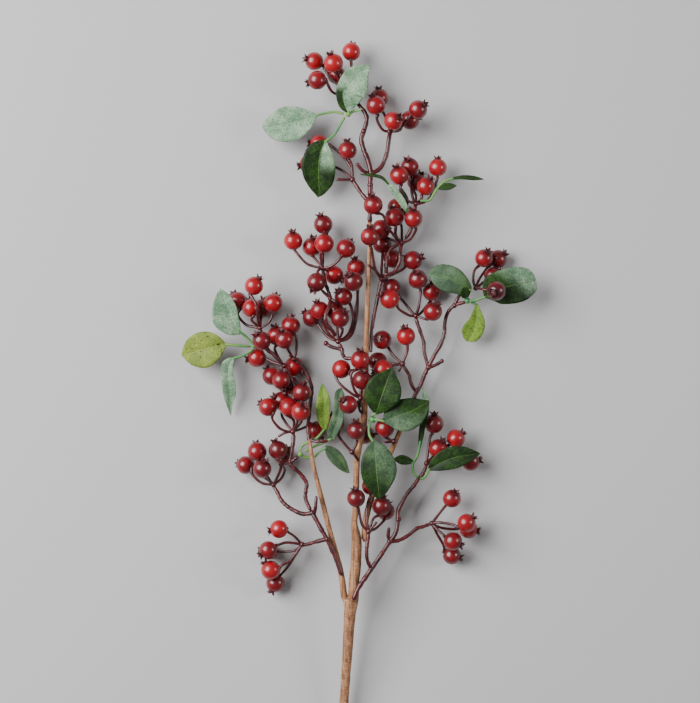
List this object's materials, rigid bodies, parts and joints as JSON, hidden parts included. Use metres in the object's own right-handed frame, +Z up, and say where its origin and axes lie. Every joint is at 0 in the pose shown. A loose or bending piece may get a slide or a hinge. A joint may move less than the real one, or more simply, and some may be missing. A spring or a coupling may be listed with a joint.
{
  "type": "cranberry sprig",
  "caption": "Lying spray of red berries with star-shaped crowns on dark wiry twigs, with loose leaves and a long paper-taped stem.",
  "frame": {"origin": "on the ground under the middle of the sprig's bounding box, as it lies", "axes": "+Y along the stem from the cut end to the berries at the tip, +X across the sprig, +Z up out of the surface it lies on"},
  "size_m": [0.1926, 0.4296, 0.036],
  "materials": {
    "stem_tape": "matt tan crepe paper tape wound round the stem",
    "twig_plastic": "dark maroon moulded twig with a soft shine",
    "berry_skin": "crimson satin-gloss skin with darker burgundy patches",
    "berry_crown": "dry dark brown five-pointed crown",
    "leaf_green": "dark green printed leaf with a lighter midrib and fine speckle",
    "leaf_pale": "pale grey-green underside of a leaf with raised veins",
    "leaf_yellow": "yellow-green leaf with brown spots, thin enough for light to pass",
    "petiole_plastic": "green moulded leaf stalk"
  },
  "bodies": {
    "root": {"stem_main": "stem_tape", "shoot_centre": "stem_tape", "shoot_left": "stem_tape", "shoot_right": "stem_tape", "twig_low_left": "twig_plastic", "twig_mid_left": "twig_plastic", "twig_left_upper": "twig_plastic", "twig_far_left": "twig_plastic", "twig_upper_left": "twig_plastic", "twig_upper_left_tip": "twig_plastic", "twig_top": "twig_plastic", "twig_upper_right": "twig_plastic", "twig_upper_right_mid": "twig_plastic", "twig_upper_right_tip": "twig_plastic", "twig_centre_right": "twig_plastic", "twig_low_right": "twig_plastic", "bunch_low_left": "berry_skin", "bunch_left_outer": "berry_skin", "bunch_mid_left": "berry_skin", "bunch_mid_left_high": "berry_skin", "bunch_far_left": "berry_skin", "bunch_left_upper": "berry_skin", "bunch_far_left_low": "berry_skin", "bunch_upper_left": "berry_skin", "bunch_upper_left_tip": "berry_skin", "bunch_top_inner": "berry_skin", "bunch_top": "berry_skin", "bunch_top_right": "berry_skin", "bunch_upper_right_tip": "berry_skin", "bunch_upper_right": "berry_skin", "bunch_upper_right_low": "berry_skin", "bunch_centre_right": "berry_skin", "bunch_centre": "berry_skin", "bunch_centre_high": "berry_skin", "bunch_centre_back": "berry_skin", "bunch_centre_left": "berry_skin", "bunch_centre_low": "berry_skin", "bunch_right": "berry_skin", "bunch_low_right": "berry_skin", "bunch_low_centre": "berry_skin", "bunch_far_right": "berry_skin", "leaf_top_upright": "leaf_pale", "leaf_top_left": "leaf_pale", "leaf_top_hanging": "leaf_green", "leaf_upper_right_inner": "leaf_green", "leaf_upper_right_outer": "leaf_green", "leaf_far_left_upright": "leaf_pale", "leaf_far_left": "leaf_yellow", "leaf_far_left_hanging": "leaf_pale", "leaf_right_inner": "leaf_green", "leaf_right_outer": "leaf_green", "leaf_right_hanging": "leaf_yellow", "leaf_centre_top": "leaf_green", "leaf_centre_right": "leaf_green", "leaf_centre_low": "leaf_green", "leaf_left_narrow": "leaf_yellow", "leaf_left_grey": "leaf_pale", "leaf_left_low": "leaf_green", "leaf_low_right_pair": "leaf_green", "leaf_low_right_long": "leaf_green"}
  },
  "joints": []
}
